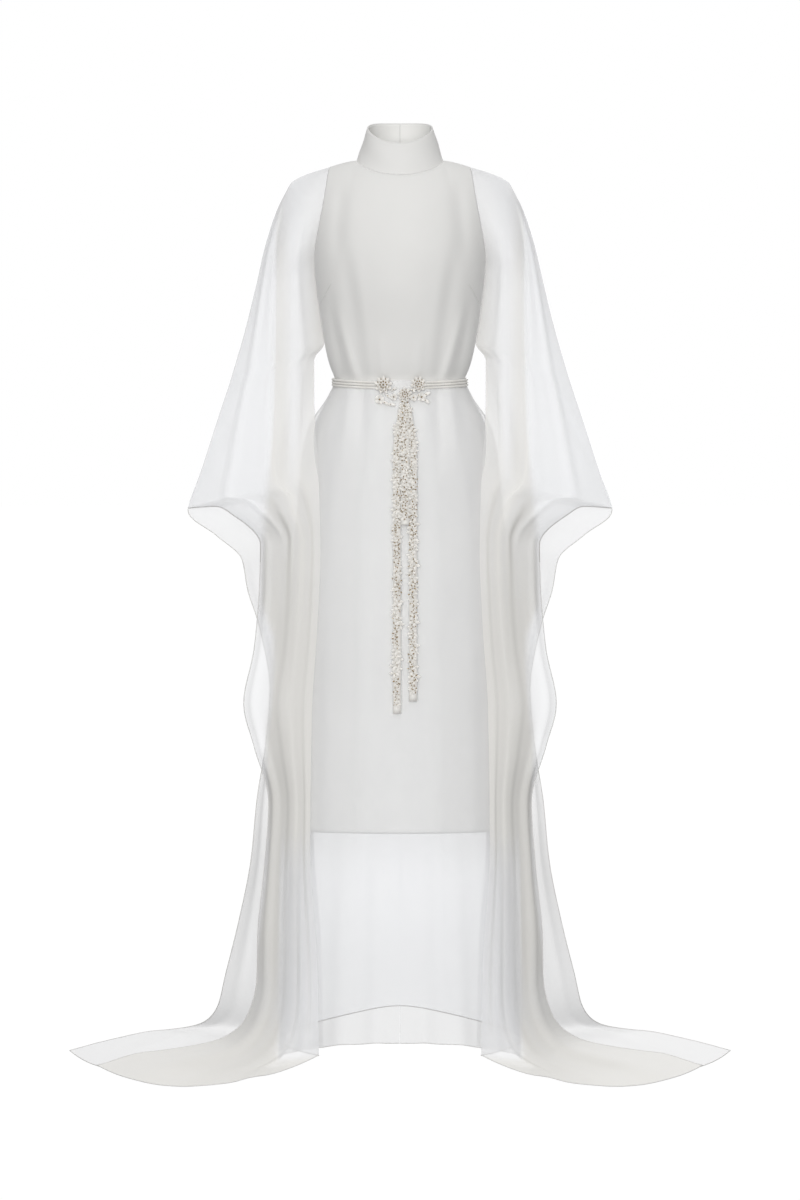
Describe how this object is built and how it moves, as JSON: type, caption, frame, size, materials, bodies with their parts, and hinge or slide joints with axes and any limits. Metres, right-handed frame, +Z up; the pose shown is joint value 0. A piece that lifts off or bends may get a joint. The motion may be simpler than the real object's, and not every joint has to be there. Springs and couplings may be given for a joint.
{
  "type": "kaftan dress",
  "caption": "Floor-length kaftan dress, filled out as worn: sleeveless crepe with a stand collar, sheer winged sleeves with side trains, and a flowered tie belt.",
  "frame": {"origin": "middle of the neck opening at the height where the collar meets the shoulders, where the wearer's shoulders carry the dress", "axes": "+Z up along the standing wearer, -Y to the dress's front, +X to a viewer's right as they face its front"},
  "size_m": [1.118, 0.4764, 1.5557],
  "materials": {
    "crepe": "matt ivory crepe with a soft sheen",
    "sheer": "sheer ivory chiffon",
    "cord": "satin rouleau cord",
    "flower": "pearly petals with beaded centres"
  },
  "bodies": {
    "root": {"collar": "crepe", "crepe_front": "crepe", "crepe_back_left": "crepe", "crepe_back_right": "crepe", "sheer_front": "sheer", "sheer_back_left": "sheer", "sheer_back_right": "sheer", "wing_front_left": "sheer", "wing_front_right": "sheer", "wing_back_left": "sheer", "wing_back_right": "sheer", "belt_band": "cord", "rosette_left": "flower", "rosette_right": "flower", "rosette_middle": "flower", "spray_left": "flower", "spray_right": "flower", "strand_left": "flower", "strand_right": "flower", "strand_middle": "flower"}
  },
  "joints": []
}
